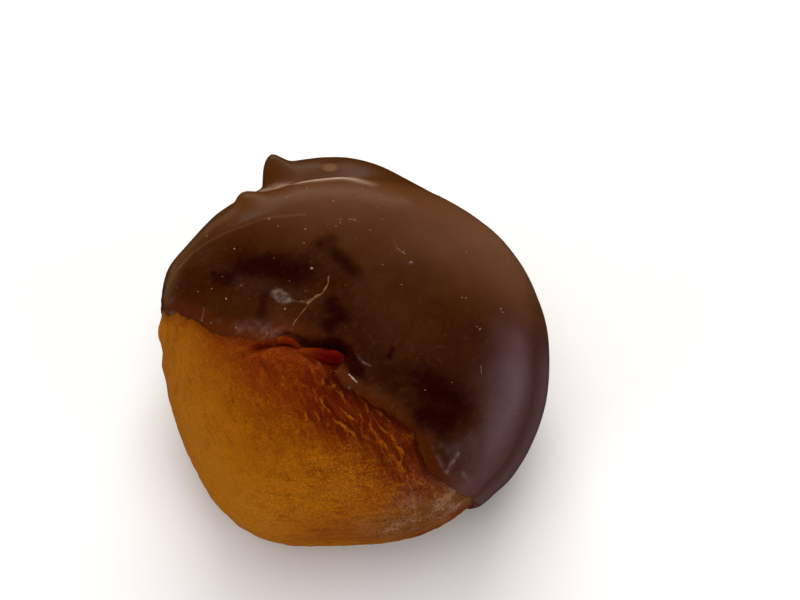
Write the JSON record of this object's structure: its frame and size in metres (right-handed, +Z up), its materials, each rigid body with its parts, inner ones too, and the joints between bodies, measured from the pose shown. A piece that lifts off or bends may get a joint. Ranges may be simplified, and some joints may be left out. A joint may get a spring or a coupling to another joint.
{
  "type": "chocolate dipped apricot",
  "caption": "Whole dried apricot lying flat, its far half dipped at a slant in milk chocolate, with the amber flesh bare in front.",
  "frame": {"origin": "under the middle of the whole, on the floor it lies on", "axes": "+Z up out of the face with the stem cavity, +X to the right and +Y away from the bare end, as the picture shows it"},
  "size_m": [0.0426, 0.045, 0.0248],
  "materials": {
    "apricot": "satin",
    "chocolate_coat": "satin"
  },
  "bodies": {
    "root": {"apricot": "apricot", "chocolate_coat": "chocolate_coat"}
  },
  "joints": []
}
